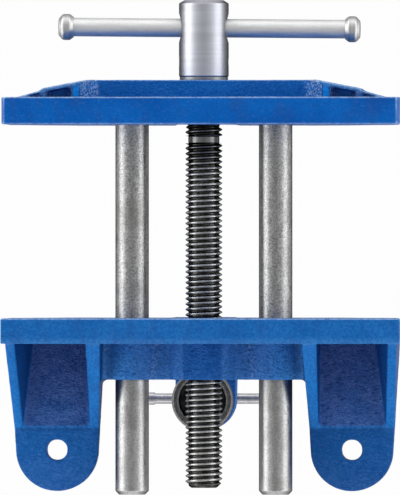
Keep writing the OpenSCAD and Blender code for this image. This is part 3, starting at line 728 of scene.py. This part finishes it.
def front_look(p, no):
    """The same for the front casting, with pebbled slopes beside its ledge and pockets, painted light on its
    slopes, ribs and pocket floors, and an outer rim made pale by worn paint and a painted highlight.
    """
    x, y, z = np.abs(p[:, 0]), p[:, 1], p[:, 2]
    up = step(no[:, 2], 0.2, 0.4)
    band = step(z, BAND_Z - 1, BAND_Z + 0.5) * step(y, FRONT_BACK - 1.6, FRONT_BACK - 0.2)
    face = step(y, FRONT_Y - 0.9, FRONT_Y - 0.3)
    shelf = step(y, FRONT_BACK + 0.2, FRONT_BACK - 0.3) * (1 - band)
    tip = step(x, TIP_X - 0.3, TIP_X + 0.3) * (TIP_STEP + np.maximum(x - TIP_X, 0) * TIP_SLOPE)
    inward = y - (FACE_Y + np.maximum(x - WING_X, 0) * WING_SLOPE + tip)
    wing_top = step(z, WING_Z - 1.5, WING_Z - 0.7)
    rim_top = shelf * up * step(x, WING_X + 1, WING_X + 7) * wing_top * step(inward, 2.4, 1.4)
    slopes = most(within(x, *LEDGE_SLOPE), within(x, *INNER_SLOPE), within(x, *OUTER_SLOPE),
                  0.6 * within(x, *TRAY_SLOPE))
    # The pebbled slopes beside the ledge and pockets, which get a painted highlight and painted light
    pebble = shelf * slopes * step(z, POCKET_Z - 1.9, POCKET_Z - 0.9) * up * (1 - rim_top)
    rib = shelf * within(x, *RIB_X, 0.3) * wing_top * (1 - rim_top)
    ledge = shelf * step(x, LEDGE_X + 0.5, LEDGE_X - 0.5)
    pockets = most(within(x, *POCKET_X) * step(z, WING_Z - 1.5, WING_Z - 2.5),
                   within(x, *TRAY_X) * step(z, TRAY_Z + 1.1, TRAY_Z + 0.3))
    # The pocket floors, which get painted light
    floor = shelf * up * step(inward, 0.8, 1.4) * step(z, POCKET_Z - 1.2, POCKET_Z - 0.4) * pockets
    top_line = step(z, TOP_Z - 2.5, TOP_Z - 1) * (0.5 + 0.5 * step(y, FRONT_Y - 6, FRONT_Y - 8))
    outer_line = (0.6 + 0.3 * step(x, WING_X - 5, WING_X + 1)) * step(inward, 1.0, 0.4) * (1 - band)
    nowhere = np.zeros(len(p))
    return dict(
        cast=np.clip(1 - most(band, 0.7 * face, 0.55 * ledge, 0.6 * floor, rib, 0.8 * rim_top), 0, 1),
        # The pebbled slopes get some of the tray paint and its painted sheen
        tray=0.3 * pebble,
        wall=nowhere,
        pebble=pebble,
        # Painted light on the wing's rim and the pocket floors
        haze=most(0.85 * rim_top, 0.45 * floor),
        # Painted light on the ribs, pocket floors, pebbled slopes and ledge
        bright=most(0.8 * rib, floor, 0.45 * pebble, 0.15 * ledge),
        rear=nowhere,
        # Top edges, band ends and outer rim: worn paint and a painted highlight
        rim=most(top_line, 0.8 * band_end(no, z), outer_line),
        rise=-0.25 * pebble)


dress(casting("rear_jaw", "rear_jaw_casting", rear_look), ENAMEL, "rear_casting", "rear_jaw")
dress(casting("front_jaw", "front_jaw_casting", front_look), ENAMEL, "sliding_jaw", "front_jaw")


# Guide rods
def guide_rod(side, name, node):
    """A rod with a small bevel in front, a long one behind and a lathe centre in its end."""
    bevel, nose, nose_in = 0.6, 1.7, 1.55
    centre_r, centre_tip_r, centre_deep = 1.6, 0.6, (0.9, 1.3)
    rod = turned(name, rounded([
        (0, ROD_START, 0), (ROD_R - bevel, ROD_START, 0.2), (ROD_R, ROD_START + bevel, 0.2),
        (ROD_R, ROD_END - nose, 0.5), (ROD_R - nose_in, ROD_END - 0.05, 0.35), (centre_r, ROD_END, 0.3),
        (centre_tip_r, ROD_END - centre_deep[0], 0.2), (0, ROD_END - centre_deep[1], 0)]),
        (side * ROD_X, 0, AXIS_Z), ALONG_Y)
    dress(rod, ROD, "sliding_jaw", node)


guide_rod(1, "guide_rod_left_turned", "guide_rod_left")
guide_rod(-1, "guide_rod_right_turned", "guide_rod_right")


# Main screw
def screw_limit(at):
    """The thread fades out at both of its ends."""
    start, start_low, start_rise, start_least = -137.5, -139.6, 0.9, 0.4
    fade_in = SCREW_ROOT + (at - start_low) * start_rise + start_least if at < start else UNLIMITED
    return min(SCREW_ROOT - 1.0 + (SCREW_END - at), fade_in)


def main_screw():
    axis = ((0, 0, AXIS_Z), ALONG_Y)
    under, over = SCREW_ROOT - 0.05, SCREW_ROOT + 0.12
    neck = turned("neck", rounded([
        (0, WASHER_Y - SPIGOT_LEN, 0), (SPIGOT_R, WASHER_Y - SPIGOT_LEN, 0.4), (SPIGOT_R, WASHER_Y, 0.1),
        (SCREW_R, WASHER_Y, 0.1), (SCREW_R, CLIP_GROOVE[0], 0.2), (SPIGOT_R, CLIP_GROOVE[0], 0.2),
        (SPIGOT_R, CLIP_GROOVE[1], 0.2), (SCREW_R, CLIP_GROOVE[1], 0.3), (SCREW_R, FRONT_Y - 0.6, 0.4),
        (under, FRONT_Y + 0.2, 0.3), (under, GROOVE[0] - 0.1, 0.1), (over, GROOVE[0] + 0.35, 0.2),
        (over, GROOVE[1] - 0.35, 0.2), (under, GROOVE[1] + 0.1, 0.1), (under, SCREW_END - 0.9, 0.2),
        (SCREW_ROOT - 1.15, SCREW_END, 0.3), (1.4, SCREW_END - 0.02, 0.2), (0.5, SCREW_END - 0.8, 0.2),
        (0, SCREW_END - 1.1, 0)]), *axis)
    form = (SCREW_PITCH, SCREW_ROOT - 0.02, SCREW_R - 0.02, SMALL_ROUND, screw_limit)
    short = helix("short", *axis, FRONT_Y + 0.1, GROOVE[0], *form, seed=0)
    long = helix("long", *axis, GROOVE[1], SCREW_END - 0.35, *form, seed=1)
    screw = joined("main_screw_threaded", neck, short, long)
    sharpen(screw, THREAD_SHARP)
    dress(screw, SCREW, "screw_assembly", "main_screw")


main_screw()


# Hub, T-bar and knobs
TILT = math.radians(-BAR_TILT)
BAR_DIR = (math.cos(TILT), math.sin(TILT), 0)
BAR_AT = (0, BAR_Y, AXIS_Z)


def through(name, flared, origin, direction, segments, reach):
    """A cutter for a through hole, from (radius, place) points of its one half."""
    half = [(flared[0][0], reach), *flared]
    points = [(0, -reach), *((r, -at) for r, at in half), *((r, at) for r, at in reversed(half)), (0, reach)]
    return turned(name, points, origin, direction, segments)


def hub():
    """The hub, with a dished centre, a flared cross hole for the T-bar and a hole for its pin."""
    reach, bore = 15, SPIGOT_R + 0.02
    body = turned("screw_hub_turned", rounded([
        (0, HUB_Y + 0.5, 0), (1.5, HUB_Y + 0.5, 0.2), (2.1, HUB_Y, 0.2), (HUB_R - 2.3, HUB_Y, 0.35),
        (HUB_R, HUB_Y + 1.4, 0.35), (HUB_R, WASHER_Y - 0.5, 0.25), (HUB_R - 0.5, WASHER_Y, 0.15),
        (bore, WASHER_Y, 0.1), (bore, WASHER_Y - SPIGOT_LEN - 0.1, 0.1), (0, WASHER_Y - SPIGOT_LEN - 0.1, 0)]),
        (0, 0, AXIS_Z), ALONG_Y, FINE_ROUND)
    mouth = through("mouth", [(6.6, 10.9), (5.2, 9.2), (BAR_R + 0.3, 8.3)], BAR_AT, BAR_DIR, ROUND, reach)
    pin = turned("pin", [(0, -reach), (HUB_PIN_R, -reach), (HUB_PIN_R, reach), (0, reach)],
                 (0, WASHER_Y - HUB_PIN_IN, AXIS_Z), ALONG_X, TINY_ROUND)
    cut_away(body, mouth, pin)
    sharpen(body, 28)
    dress(body, HUB, "screw_assembly", "screw_hub")


def bar_and_knobs():
    half, inset = BAR_LEN / 2, 1.2
    low, high = -BAR_SLID - half + inset, -BAR_SLID + half - inset
    bar = turned("handle_bar_turned", rounded([
        (0, low, 0), (BAR_R, low, 0.4), (BAR_R, high, 0.4), (0, high, 0)]), BAR_AT, BAR_DIR)
    dress(bar, BAR, "t_bar", "handle_bar")
    for side, node in ((1, "handle_knob_left"), (-1, "handle_knob_right")):
        tip = -BAR_SLID * side + half
        inner = tip - KNOB_LEN
        knob = turned(node + "_turned", rounded([
            (BAR_R + 0.02, tip - inset, 0), (BAR_R + 0.02, inner + 0.15, 0.15), (BAR_R + 0.35, inner, 0.12),
            (KNOB_R - 1.2, inner, 0.8), (KNOB_R, tip - 4.9, 1.6), (KNOB_R, tip - 1.9, 1.8),
            (3.5, tip - 0.05, 1.6), (0, tip, 0)], 6), BAR_AT, [c * side for c in BAR_DIR])
        dress(knob, KNOB, "t_bar", node)


hub()
bar_and_knobs()


# Bench clamp
def clamp_limit(at):
    """The thread fades out below the pad and above the head."""
    least, rise = 5.0, 0.9
    return min(UNLIMITED, least + (CLAMP_THREAD_TOP - 0.2 - at) * rise, least + (at - CLAMP_HEAD_TOP) * rise)


def clamp():
    axis = ((CLAMP_X, CLAMP_Y, 0), ALONG_Z)
    across = ((CLAMP_X, CLAMP_Y, TOMMY_Z), ALONG_X)
    core = CLAMP_ROOT - 0.02
    neck, slot = CLAMP_NECK_R, RETAINER_Z
    head = turned("head", rounded([
        (0, CLAMP_LOW, 0), (6.6, CLAMP_LOW, 0.5), (CLAMP_HEAD_R, CLAMP_LOW + 1.25, 0.6),
        (CLAMP_HEAD_R, CLAMP_HEAD_TOP - 1.15, 0.6), (6.8, CLAMP_HEAD_TOP, 0.5), (core, CLAMP_HEAD_TOP, 0.3),
        (core, CLAMP_THREAD_TOP, 0.3), (neck, CLAMP_THREAD_TOP + 0.05, 0.2), (neck, slot[0], 0.1),
        (RETAINER_R, slot[0], 0.1), (RETAINER_R, slot[1], 0.1), (neck, slot[1], 0.1),
        (neck, CLAMP_TOP - 0.6, 0.6), (2.6, CLAMP_TOP, 0.4), (0, CLAMP_TOP, 0)]), *axis)
    hole = through("hole", [(3.4, 8.6), (TOMMY_HOLE, 7.2)], *across, TINY_ROUND, 12)
    cut_away(head, hole)
    thread = helix("thread", *axis, CLAMP_HEAD_TOP + 0.05, CLAMP_THREAD_TOP - 0.8, CLAMP_PITCH, CLAMP_ROOT,
                   CLAMP_CREST, TINY_ROUND, clamp_limit, seed=2)
    screw = joined("clamp_screw_threaded", head, thread)
    sharpen(screw, THREAD_SHARP)
    dress(screw, CLAMP, "clamp_spindle", "clamp_screw")
    pad = turned("clamp_pad_turned", rounded([
        (PAD_BORE, PAD_LOW, 0), (PAD_R - 1.2, PAD_LOW, 0.4), (PAD_R, PAD_LOW + 1.2, 0.5),
        (PAD_R, PAD_TOP - 0.95, 0.5), (PAD_R - 0.8, PAD_TOP, 0.35), (10.9, PAD_TOP, 0.3),
        (10.2, PAD_TOP - 0.85, 0.3), (9.9, PAD_FLOOR, 0.8), (PAD_BORE, PAD_FLOOR, 0)]), *axis)
    dress(pad, PAD, "bench_pad", "clamp_pad")
    bar = turned("clamp_bar_turned", rounded([
        (0, -TOMMY_HALF, 0), (TOMMY_R, -TOMMY_HALF, 0.3), (TOMMY_R, TOMMY_HALF, 0.3), (0, TOMMY_HALF, 0)]),
        *across, SMALL_ROUND)
    dress(bar, TOMMY, "tommy_bar", "clamp_bar")


clamp()


# The CAD nodes that keep their own mesh
for node, mat in {
    "rod_pin_left": PIN, "rod_pin_right": PIN, "hub_pin": PIN, "thrust_washer": CLAMP, "retaining_clip": PIN,
    "pad_retainer": PIN, "clamp_bar_collar_left": TOMMY, "clamp_bar_collar_right": TOMMY,
}.items():
    NODES[node].data.materials.clear()
    NODES[node].data.materials.append(mat)


# Floor, light and camera
def floor():
    """Pale paper below every pose. A camera sees it nearly white, and metal reflects part of that."""
    z, reach, paper_grey = -0.1405, 20, 0.62
    camera_share, mirror_share = 0.97, 0.25
    corners = [(-reach, -reach, z), (reach, -reach, z), (reach, reach, z), (-reach, reach, z)]
    plane = mesh_object("studio_floor", corners, [(0, 1, 2, 3)], False)
    m, n = material("floor_paper")
    path = n.add("ShaderNodeLightPath").outputs
    mirrored = n.times(n.plus(path["Is Glossy Ray"], path["Is Transmission Ray"]), mirror_share)
    seen = n.plus(n.times(path["Is Camera Ray"], camera_share), mirrored, clamp=True)
    paper = n.add("ShaderNodeBsdfDiffuse")
    paper.inputs["Color"].default_value = (paper_grey, paper_grey, paper_grey, 1)
    glow = n.add("ShaderNodeEmission")
    glow.inputs["Strength"].default_value = 1.0
    both = n.add("ShaderNodeMixShader")
    for socket, value in zip(both.inputs, (seen, paper.outputs[0], glow.outputs[0])):
        n.put(value, socket)
    n.put(both.outputs[0], n.add("ShaderNodeOutputMaterial").inputs[0])
    plane.data.materials.append(m)


def world():
    """A studio of soft light: an even ceiling, a long strip at each side and a bright wall in front."""
    strip_angle, strip_length, strip_levels = (0.86, 1.14), (0.93, 0.80), (1.45, 2.05)
    wall_angle, wall_width, wall_levels = (0.80, 1.20), (0.80, 0.50), (1.05, 0.80)
    ceiling_angle, ceiling_levels = (0.0, 0.95), (0.35, 0.80)
    across = (-0.2, 0.2)
    w = bpy.data.worlds.new("studio")
    bpy.context.scene.world = w
    w.use_nodes = True
    n = Nodes(w.node_tree)
    x, y, z = n.split(n.add("ShaderNodeTexCoord").outputs["Generated"])
    wide, deep = n.math("ABSOLUTE", x), n.math("ABSOLUTE", y)
    side, ends = n.math("ARCTAN2", wide, z), n.math("ARCTAN2", deep, z)
    strip = n.times(n.span(side, *strip_angle), n.span(deep, *strip_length))
    strip = n.times(strip, n.span(x, *across, *strip_levels))
    wall = n.times(n.span(ends, *wall_angle), n.span(wide, *wall_width))
    wall = n.times(wall, n.span(y, *across, *wall_levels))
    level = n.plus(n.span(side, *ceiling_angle, *ceiling_levels), n.plus(strip, wall))
    camera = n.add("ShaderNodeLightPath").outputs["Is Camera Ray"]
    level = n.plus(n.times(level, n.math("SUBTRACT", 1.0, camera)), camera)
    bg = n.add("ShaderNodeBackground")
    bg.inputs["Color"].default_value = (1, 1, 1, 1)
    n.put(level, bg.inputs["Strength"])
    n.put(bg.outputs[0], n.add("ShaderNodeOutputWorld").inputs[0])


def softbox(name, place, target, size, level):
    """An area lamp of size metres aimed at the target, with the radiance level."""
    lamp = bpy.data.lights.new(name, "AREA")
    lamp.shape, lamp.size, lamp.size_y = "RECTANGLE", size[0], size[1]
    lamp.energy = level * math.pi * size[0] * size[1]
    obj = link(bpy.data.objects.new(name, lamp))
    obj.location = place
    obj.rotation_euler = (Vector(target) - Vector(place)).to_track_quat("-Z", "Y").to_euler()


def camera(target, lean, distance, lens):
    """The photo's view from straight above, with the front of the vise at the top of the picture."""
    cam = bpy.data.cameras.new("camera")
    cam.lens, cam.sensor_width = lens, 36.0
    cam.clip_start, cam.clip_end = 0.05, 100
    obj = link(bpy.data.objects.new("camera", cam))
    offset = Vector((lean, 0.0, 1.0)) * distance
    back = offset.normalized()
    front = Vector((0, -1, 0))
    up = (front - back * back.dot(front)).normalized()
    turn = Matrix((up.cross(back), up, back)).transposed()
    obj.matrix_world = Matrix.Translation(Vector(target) + offset) @ turn.to_4x4()
    bpy.context.scene.camera = obj


floor()
world()
softbox("front_softbox", place=(0.35, -1.3, 1.5), target=(0, -0.09, 0), size=(1.0, 0.6), level=0.6)
camera(target=(-0.0001, -0.0871, 0.048), lean=-0.049, distance=6.0, lens=1022.0)
bpy.context.scene.view_settings.view_transform = "Standard"
